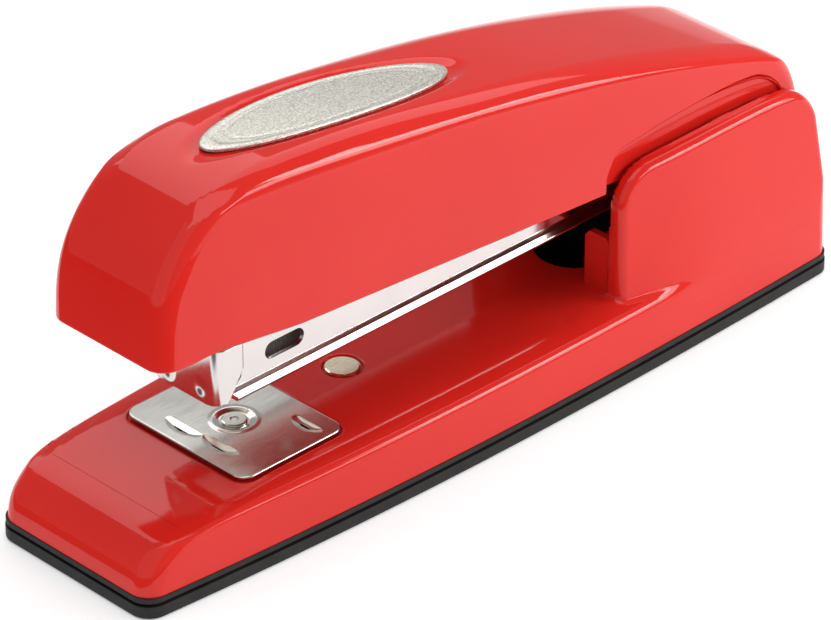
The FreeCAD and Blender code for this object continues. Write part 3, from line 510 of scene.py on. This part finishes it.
# the rear wall stops at a mouth between the wings, which makes room for the cradle when the handle is up
MOUTH_HALF, MOUTH_TOP, MOUTH_BEHIND = 16.7, 46.5, 80.0
column = skin.shape[1] // 2
mouth_row = int(np.argmax((skin[:, column, 2] < MOUTH_TOP) & (skin[:, column, 0] > MOUTH_BEHIND)))
inside_mouth = np.flatnonzero(np.abs(skin[-1, :, 1]) < MOUTH_HALF)
mouth_near, mouth_far = int(inside_mouth[0]), int(inside_mouth[-1])

cap = Sheet()
below = slice(mouth_row, None)
near_strip, far_strip = slice(None, mouth_near + 1), slice(mouth_far, None)
for rows, columns in ((slice(None, mouth_row + 1), slice(None)), (below, near_strip), (below, far_strip)):
    cap.grid(skin[rows, columns], skin_normals[rows, columns])
    cap.grid(lining[rows, columns], -skin_normals[rows, columns])
across_mouth = slice(mouth_near, mouth_far + 1)
borders = (
    ((0, slice(None)), (1, slice(None))),
    ((-1, near_strip), (-2, near_strip)),
    ((-1, far_strip), (-2, far_strip)),
    ((mouth_row, across_mouth), (mouth_row - 1, across_mouth)),
    ((below, mouth_near), (below, mouth_near - 1)),
    ((below, mouth_far), (below, mouth_far + 1)),
)
for edge, inside in borders:
    normals = skin_normals[edge]
    cap.grid(*edge_roll(skin[edge], lining[edge], normals, outward_of(skin[edge], skin[inside], normals)))
STEP_X = 31.5
step_from = int(np.argmax(RAIL[:, 0] > STEP_X))
for j, inside_j in ((0, 1), (-1, -2)):
    part = slice(0, step_from)
    normals = skin_normals[part, j]
    cap.grid(*edge_roll(skin[part, j], lining[part, j], normals,
                        outward_of(skin[part, j], skin[part, inside_j], normals)))

# the ledge over each wing, and the set-back panel that passes inside the wing
STEP_HALF, LEDGE_ROUND, CORNER_ROUND = 17.0, 0.7, 0.5
for j, side in ((0, -1.0), (-1, 1.0)):
    part = slice(step_from - 1, len(RAIL))
    rim = skin[part, j]
    down = -ups[part]
    across = np.array([0.0, side, 0.0])
    rows, row_normals = [], []
    for a in np.radians([0, 22, 45, 68, 90]):
        rows.append(rim - across * LEDGE_ROUND * (1 - math.cos(a)) + down * LEDGE_ROUND * math.sin(a))
        row_normals.append(across * math.cos(a) + down * math.sin(a))
    flat = rim * [1, 0, 1] + across * (STEP_HALF + CORNER_ROUND) + down * LEDGE_ROUND
    rows.append(flat)
    row_normals.append(down)
    for a in np.radians([22, 45, 68, 90]):
        rows.append(flat - across * CORNER_ROUND * math.sin(a) + down * CORNER_ROUND * (1 - math.cos(a)))
        row_normals.append(across * math.sin(a) + down * math.cos(a))
    cap.grid(np.array(rows), np.array([np.broadcast_to(r, rim.shape) for r in row_normals]))
PANEL_FOOT = spline([(30.0, 42.2), (58.0, 37.6), (80.0, 33.2), (90.0, 35.8)])
rail_top = RAIL[step_from - 1:, :2]
order = np.argsort(rail_top[:, 0], kind="stable")
for side in (-1.0, 1.0):
    across = np.array([0.0, side, 0.0])
    columns = []
    for x in np.concatenate([np.linspace(31.2, 84.0, 40), np.linspace(84.6, 87.2, 6)]):
        head = float(np.interp(x, rail_top[order, 0], rail_top[order, 1])) - 0.6
        foot = float(PANEL_FOOT(x))
        columns.append([(x, side * STEP_HALF, z) for z in np.linspace(max(head, foot + 1.2), foot, 8)])
    face = np.array(columns)
    cap.grid(face, np.broadcast_to(across, face.shape))
    back = face - across * CAP_SHEET
    cap.grid(back, np.broadcast_to(-across, face.shape))
    down = np.broadcast_to(np.array([0.0, 0.0, -1.0]), face[:, -1].shape)
    cap.grid(*edge_roll(face[:, -1], back[:, -1], np.broadcast_to(across, down.shape), down))
cap.build("handle_cap_sculpted", RED, "handle", "handle_cap")

# ---- base shell: one drawn form with a sloped nose, creased shoulders and two rear wings ----

def join(a, b, radius):
    """Where either distance is negative, filled by a radius in the corner between them."""
    return -meet(-a, -b, radius)


def rounded_box(x, y, half_x, half_y, corner):
    """Distance to a rectangle with rounded corners, seen from above."""
    u, v = np.abs(x) - half_x + corner, np.abs(y) - half_y + corner
    return np.minimum(np.maximum(u, v), 0.0) + np.hypot(np.maximum(u, 0), np.maximum(v, 0)) - corner


FOOT_HALF = spline([(-95, 21.5), (-78, 23.0), (-60, 24.3), (-30, 25.8), (0, 26.5), (30, 26.5), (60, 26.0),
                    (80, 25.4), (95, 24.8)])
NOSE = spline([(0, -94.9), (4.5, -94.65), (7.4, -94.2), (10.7, -92.7), (13.5, -89.9), (15.3, -86.0),
               (16.4, -80.5), (17.5, -74.0)])
WING_FOOT = spline([(33.5, 22.1), (42, 23.9), (51, 25.2), (62, 25.45), (75, 25.07), (94.3, 24.32)])
WING_HEAD = spline([(33.5, 20.8), (42, 21.3), (51, 21.7), (62, 21.8), (75, 21.7), (94.3, 20.9)])
WING_CREST = spline([(30, 44.0), (42, 44.8), (55, 45.2), (68, 45.3), (79, 44.9), (86, 44.0), (94, 42.2)])
BASE_TOP, PAD_TOP, BASE_SHEET, BASE_REAR = 16.4, 4.5, 1.5, 94.65
FOOT_INSET, SIDE_RUN, SIDE_RISE = 0.35, 0.5, 15.5
SHOULDER_FALL, SHOULDER_WIDE = 0.30, 3.4
ANVIL_X, STUD_X = -52.0, -22.9
RECESS_HALF, RECESS_CORNER, RECESS_DEEP = (14.0, 17.6), 3.35, 0.9
SEAT_RADIUS, SEAT_DEEP = 4.1, 0.75
POST_HOLE, STUD_HOLE = 3.5, 1.9
WELL_RADIUS, WELL_X, WELL_REAR = 8.5, 43, 87
WING_SHEET, WING_INNER, WING_FOOT_Z = 1.6, 18.2, 11.0


def base_half(x, z):
    """The body's half width, which draws in a little towards the top."""
    return FOOT_HALF(x) - FOOT_INSET - SIDE_RUN * (z - PAD_TOP) / SIDE_RISE


def base_skin(x, y, z):
    """The body's outer face."""
    side = y - base_half(x, z)
    shoulder = (SHOULDER_FALL * (side + SHOULDER_WIDE) + (z - BASE_TOP)) / np.hypot(SHOULDER_FALL, 1.0)
    form = meet(side, shoulder, 1.5)
    form = meet(form, z - BASE_TOP, 0.8)
    lip = NOSE(z + 0.25) - NOSE(z - 0.25)
    form = meet(form, (NOSE(z) - x) / np.hypot(1, 2 * lip), 4.2)
    form = meet(form, x - BASE_REAR, 4.0)
    recess = rounded_box(x - ANVIL_X, y, *RECESS_HALF, RECESS_CORNER)
    form = meet(form, -np.maximum(recess, BASE_TOP - RECESS_DEEP - z), 0.45)
    seat = np.maximum(np.hypot(x - STUD_X, y) - SEAT_RADIUS, BASE_TOP - SEAT_DEEP - z)
    return meet(form, -seat, 0.5)


def wing_form(x, y, z, inset):
    """One wing as a solid, drawn in by an inset. Its face leaves the base's side without a crease."""
    rise = (z - 17.0 + np.hypot(z - 17.0, 5.0)) / 59.4
    outer = y - (WING_FOOT(x) + (WING_HEAD(x) - WING_FOOT(x)) * rise) + inset
    front = 33.4 + 0.0284 * (z - 14.9) - x + inset
    rear = x - 94.3 + 0.10 * (z - 14.9) + inset
    crest = z - WING_CREST(x) + inset
    outline = meet(meet(crest, front, 8.2), rear, 7.0)
    return meet(outline, outer, 1.9)


def base_form(p):
    """The drawn shell with its openings, joined to the two hollow wings."""
    x, y, z = p[:, 0], np.abs(p[:, 1]), p[:, 2]
    shell = np.abs(base_skin(x, y, z) + BASE_SHEET / 2) - BASE_SHEET / 2
    shell = np.maximum(shell, np.minimum(WELL_RADIUS - np.hypot(np.minimum(x - WELL_X, 0), y), WELL_REAR - x))
    shell = np.maximum(shell, POST_HOLE - np.hypot(x - ANVIL_X, y))
    shell = np.maximum(shell, STUD_HOLE - np.hypot(x - STUD_X, y))
    wing = np.maximum(wing_form(x, y, z, 0.0), WING_INNER - y)
    wing = np.maximum(wing, -wing_form(x, y, z, WING_SHEET))
    wing = np.maximum(np.maximum(wing, WING_FOOT_Z - z), meet(y - base_half(x, z), x - BASE_REAR, 4.0))
    # wide where the wing springs from the base's top, and nearly nothing along the shared side
    blend = 1.4 - 1.38 * smooth_step((x - 44.0) / 16.0)
    return np.maximum(join(shell, wing, blend), PAD_TOP - 0.35 - z)


def net(form, low, high, step):
    """Surface of a form inside a box as points, outward normals and quads."""
    axes = [np.arange(a, b + step, step) for a, b in zip(low, high)]
    grid = np.stack(np.meshgrid(*axes, indexing="ij"), -1)
    inside = np.concatenate([form(part.reshape(-1, 3)) < 0 for part in grid]).reshape(grid.shape[:3])
    span = [slice(None, -1), slice(1, None)]
    corners = [(i, j, k) for i in (0, 1) for j in (0, 1) for k in (0, 1)]
    count = sum(inside[span[i], span[j], span[k]].astype(np.int8) for i, j, k in corners)
    mixed = (count > 0) & (count < 8)
    index = np.full(mixed.shape, -1)
    index[mixed] = np.arange(mixed.sum())
    middle = (grid[:-1, :-1, :-1] + step / 2)[mixed]
    spots = middle.copy()
    for _ in range(5):
        normals = slope(form, spots, step * 0.1)
        spots = middle + np.clip(spots - normals * form(spots)[:, None] - middle, -step, step)
    quads = []
    for axis in range(3):
        others = [a for a in range(3) if a != axis]
        flip = np.moveaxis(inside, [axis] + others, [0, 1, 2])
        cells = np.moveaxis(index, [axis] + others, [0, 1, 2])
        start, end = flip[:-1, 1:-1, 1:-1], flip[1:, 1:-1, 1:-1]
        ring = np.stack([cells[:, :-1, :-1], cells[:, 1:, :-1], cells[:, 1:, 1:], cells[:, :-1, 1:]], -1)
        for leaving, turn in ((start & ~end, axis != 1), (~start & end, axis == 1)):
            found = ring[leaving]
            quads.append(found if turn else found[:, ::-1])
    return spots, slope(form, spots, step * 0.1), np.concatenate(quads)


def mesh_piece(name, spots, normals, quads, material, body, *replaced):
    """A net's result as a piece that rides on a body."""
    mesh = bpy.data.meshes.new(name)
    mesh.from_pydata((spots * MM).tolist(), [], quads.tolist())
    shade(mesh, normals)
    place(name, mesh, material, body, *replaced)


FINE = 0.5
base_net = net(base_form, (-96.1, -27.4, 3.3), (95.9, 27.4, 46.4), FINE)
mesh_piece("base_shell_drawn", *base_net, RED, "base", "base_shell")

# ---- anvil plate: pressed plate with crimping grooves and a dished eye ----
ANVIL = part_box("anvil_plate")
ANVIL_TOP, ANVIL_LOW = ANVIL[1].z / MM, ANVIL[0].z / MM
ANVIL_HALF = ((ANVIL[1].x - ANVIL[0].x) / 2 / MM, (ANVIL[1].y - ANVIL[0].y) / 2 / MM)
# centre from the plate's middle (x, y), half length, half width, bow
GROOVES = [(-8.6, -4.9, 4.9, 1.5, 0.9), (-9.3, 4.9, 4.9, 1.5, 0.9), (8.6, -11.1, 4.0, 1.5, 0.9),
           (8.0, 11.1, 4.0, 1.5, 0.9)]
GROOVE_DEEP, EYE_DEEP, EYE_LIP, EYE_HOLE, PLATE_CORNER = 0.46, 0.36, 0.10, 1.6, 3.0


def groove_depth(x, y):
    """How far the crimping grooves sink below the plate's face."""
    deep = 0 * x
    for cx, cy, long, wide, bow in GROOVES:
        u = (y - cy) / long
        v = (x - cx - bow * (u ** 2 - 0.4)) / (wide * np.sqrt(np.maximum(1.02 - u ** 2, 0.02)))
        bowl = np.maximum(1 - np.abs(u) ** 3.0, 0) * np.maximum(1 - np.abs(v) ** 1.6, 0)
        deep = np.maximum(deep, GROOVE_DEEP * bowl)
    return deep


def anvil_form(p):
    """The plate with its grooves and a dished eye with a low lip round it."""
    x, y, z = p[:, 0] - ANVIL_X, p[:, 1], p[:, 2]
    far = np.hypot(x, y)
    sunk = groove_depth(x, y) + EYE_DEEP * (1 - smooth_step((far - 2.9) / 1.2))
    lip = EYE_LIP * smooth_step((far - 3.9) / 0.4) * (1 - smooth_step((far - 4.5) / 0.9))
    top = z - ANVIL_TOP + EYE_LIP + sunk - lip
    form = meet(rounded_box(x, y, *ANVIL_HALF, PLATE_CORNER), top, 0.28)
    form = np.maximum(form, ANVIL_LOW - z)
    return np.maximum(form, EYE_HOLE - far)


# ---- nose cap: bent sheet with rounded corners, two dimples and slanted flaps ----
NOSE_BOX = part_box("nose_cap")
NOSE_HALF, NOSE_LOW = NOSE_BOX[1].y / MM, NOSE_BOX[0].z / MM
NOSE_TOP, NOSE_REAR = NOSE_BOX[1].z / MM, NOSE_BOX[1].x / MM
NOSE_LEAN, NOSE_SHEET, NOSE_BEND = 0.05, 0.8, 2.5
DENT_Y, DENT_RISE, DENT_WIDE, DENT_HIGH, DENT_DEEP = 4.6, 3.4, 2.3, 2.9, 0.35
FLAP_RISE, FLAP_SLANT = 6.6, 0.62
NOSE_FRONT = NOSE_BOX[0].x / MM + 0.45 + NOSE_LEAN * (NOSE_TOP - NOSE_LOW)


def nose_skin(x, y, z, inset):
    """The bent sheet's face, with two shallow dents pressed back into it."""
    off_dent = np.hypot((y - DENT_Y) / DENT_WIDE, (z - NOSE_LOW - DENT_RISE) / DENT_HIGH)
    dent = DENT_DEEP * (1 - smooth_step(off_dent))
    front = NOSE_FRONT + dent - NOSE_LEAN * (z - NOSE_LOW) - x
    return meet(front + inset, y - NOSE_HALF + inset, NOSE_BEND - inset)


def nose_form(p):
    """The bent sheet, with its flaps cut on a slant and its lower edge rising at the sides."""
    x, y, z = p[:, 0], np.abs(p[:, 1]), p[:, 2]
    form = np.maximum(nose_skin(x, y, z, 0.0), -nose_skin(x, y, z, NOSE_SHEET))
    sweep = (NOSE_LOW + FLAP_RISE - z) * FLAP_SLANT + (x - NOSE_REAR + 0.6)
    form = np.maximum(form, sweep * 0.82)
    rise = NOSE_LOW + 0.03 * y * np.maximum(y - 6.0, 0) - z
    form = np.maximum(form, rise)
    return np.maximum(np.maximum(form, x - NOSE_REAR), z - NOSE_TOP)


# ---- bottom rail: a flat bar under the channel, with rounded top edges and sides cut back below ----
def rail_rolled():
    """Its outline is swept along X and closed at both ends."""
    low, high = (np.array(corner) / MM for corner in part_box("bottom_rail"))
    # radius, centre in from the side, centre above the underside, first and last angle
    lower, upper = (0.10, 0.43, 0.10, -90, -32), (0.35, 0.35, 0.70, -32, 90)
    outline, ways = [], []
    for side, arcs in ((1, (lower, upper)), (-1, (upper, lower))):
        for radius, inward, rise, start, end in arcs:
            for a in np.radians(np.linspace(start, end, 7)[::side]):
                way = np.array([0.0, side * math.cos(a), math.sin(a)])
                outline.append(np.array([0.0, side * (high[1] - inward), low[2] + rise]) + way * radius)
                ways.append(way)
    outline, ways = np.array(outline), np.array(ways)
    along = np.array([1.0, 0.0, 0.0])
    rail = Sheet()
    both_ends = np.stack([outline + along * low[0], outline + along * high[0]])
    rail.grid(both_ends, np.stack([ways, ways]), closed=True)
    half = len(outline) // 2
    for x, way in ((low[0], -along), (high[0], along)):
        end_rows = np.stack([outline[:half], outline[half:][::-1]]) + along * x
        rail.grid(end_rows, np.broadcast_to(way, end_rows.shape))
    rail.build("rail_rolled", FINISHES["bright_chrome"], "magazine", "bottom_rail")


rail_rolled()

# ---- badge: bead-blasted oval with a rolled rim on a bed painted dark red as a reflection, nothing written on it ----
RIM_HIGH, LINE_DEEP = 0.16, 0.07


def badge_dome(x, y):
    """The height of the badge's face."""
    return TOP(x) + 0.15 - 0.10 * (y / BADGE_WIDE) ** 2


def badge_form(p):
    """The oval plate with a raised rim and one thin line inside it."""
    x, y, z = p[:, 0], p[:, 1], p[:, 2]
    edge = (badge_reach(x, y, 0.0) - 1.0) * BADGE_WIDE
    rim = RIM_HIGH * smooth_step((edge + 1.05) / 0.5)
    line = LINE_DEEP * np.exp(-((edge + 1.7) / 0.16) ** 2)
    top = z - badge_dome(x, y) + RIM_HIGH - rim + line
    return np.maximum(meet(edge, top, 0.35), badge_dome(x, y) - 0.9 - z)


def reflection_bed_form(p):
    """The bed under the plate, which shows as its side wall; its dark red is a painted reflection of the red
    enamel.
    """
    x, y, z = p[:, 0], p[:, 1], p[:, 2]
    edge = (badge_reach(x, y, -0.12) - 1.0) * BADGE_WIDE
    return np.maximum(np.maximum(edge, z - badge_dome(x, y) + 0.85), badge_dome(x, y) - 1.9 - z)


def small_piece(name, form, box, step, material, body, *replaced):
    """A piece meshed from a form inside a box, with room for two cells round it."""
    low, high = (np.array(corner) for corner in box)
    step = step
    mesh_piece(name, *net(form, low - 2.2 * step, high + 2.2 * step, step), material, body, *replaced)


def box_of(node):
    """A CAD node's box in millimetres."""
    return [[c / MM for c in corner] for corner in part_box(node)]


small_piece("anvil_pressed", anvil_form, box_of("anvil_plate"), 0.22,
            FINISHES["nickel_plate"], "anvil", "anvil_plate")
small_piece("nose_bent", nose_form, box_of("nose_cap"), 0.25,
            FINISHES["bright_chrome"], "magazine", "nose_cap")
small_piece("badge_oval", badge_form, ((-58.8, -8.0, 70.0), (5.2, 8.0, 81.1)), 0.3,
            FINISHES["satin_nickel"], "handle", "badge")
# the bed's dark red is a painted reflection: it stands for the red enamel mirrored in the badge's side wall
bed_reflection = Maker("badge_bed_painted_reflection", (0.035, 0.008, 0.008), roughness=0.6, specular_ior_level=0.4)
bed_reflection.tint(bed_reflection.noise(1500.0, 3.0), ((0.02, 0.004, 0.004), (0.09, 0.02, 0.018)), (0.42, 0.62))
bed_reflection.bump(bed_reflection.noise(1500.0, 3.0), 0.00005, 0.5)
small_piece("badge_bed_painted_reflection", reflection_bed_form, ((-58.6, -7.8, 70.0), (5.0, 7.8, 81.1)), 0.3,
            bed_reflection.material, "handle")


# ---- staples: one bent wire after another ----
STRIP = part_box("staple_strip")
WIRE_WIDE, WIRE_THICK, WIRE_SIDES = 0.60, 0.42, 8


def staple_outline():
    """The middle of the wire seen from the front, with bent corners."""
    half, low, top, bend = STRIP[1].y / MM - 0.25, STRIP[0].z / MM, STRIP[1].z / MM - 0.25, 0.55
    path = [(-half, low)]
    for i in range(5):
        a = math.pi - math.pi / 8 * i
        path.append((-half + bend + bend * math.cos(a), top - bend + bend * math.sin(a)))
    return path + [(-y, z) for y, z in reversed(path)]


def staples():
    """A row of wires of eight flattened sides, each swept along the outline."""
    bm = bmesh.new()
    path = staple_outline()
    count = int((STRIP[1].x - STRIP[0].x) / MM / WIRE_WIDE)
    for k in range(count):
        x = STRIP[0].x / MM + (k + 0.5) * WIRE_WIDE
        rings = []
        for i, (y, z) in enumerate(path):
            (y0, z0), (y1, z1) = path[max(i - 1, 0)], path[min(i + 1, len(path) - 1)]
            along = Vector((y1 - y0, z1 - z0)).normalized()
            out = Vector((-along.y, along.x))
            ring = []
            for a in np.radians(np.arange(0, 360, 360 / WIRE_SIDES) + 180 / WIRE_SIDES):
                dx = 0.47 * WIRE_WIDE * math.copysign(abs(math.cos(a)) ** 0.7, math.cos(a))
                dn = 0.5 * WIRE_THICK * math.copysign(abs(math.sin(a)) ** 0.7, math.sin(a))
                ring.append(bm.verts.new(Vector((x + dx, y + out.x * dn, z + out.y * dn)) * MM))
            rings.append(ring)
        for a, b in zip(rings, rings[1:]):
            for i in range(WIRE_SIDES):
                after = (i + 1) % WIRE_SIDES
                bm.faces.new((a[i], a[after], b[after], b[i]))
        bm.faces.new(rings[0])
        bm.faces.new(rings[-1])
    bmesh.ops.recalc_face_normals(bm, faces=bm.faces)
    mesh = bpy.data.meshes.new("staples")
    bm.to_mesh(mesh)
    bm.free()
    mesh.polygons.foreach_set("use_smooth", [True] * len(mesh.polygons))
    obj = bpy.data.objects.new("staples", mesh)
    scene.collection.objects.link(obj)
    paint(obj, FINISHES["staple_wire"])
    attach(obj, "magazine")
    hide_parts("staple_strip")


staples()


# ---- springs, each copied onto the body that holds it ----
def flexing(node, body):
    """A spring's own shape, held by one body."""
    source = frame["nodes"][node]
    obj = bpy.data.objects.new(node + "_flexing", source.data.copy())
    scene.collection.objects.link(obj)
    obj.matrix_world = source.matrix_world.copy()
    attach(obj, body)
    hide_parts(node)
    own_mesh(obj)


flexing("follower_spring", "magazine")
flexing("anvil_leaf_spring", "base")
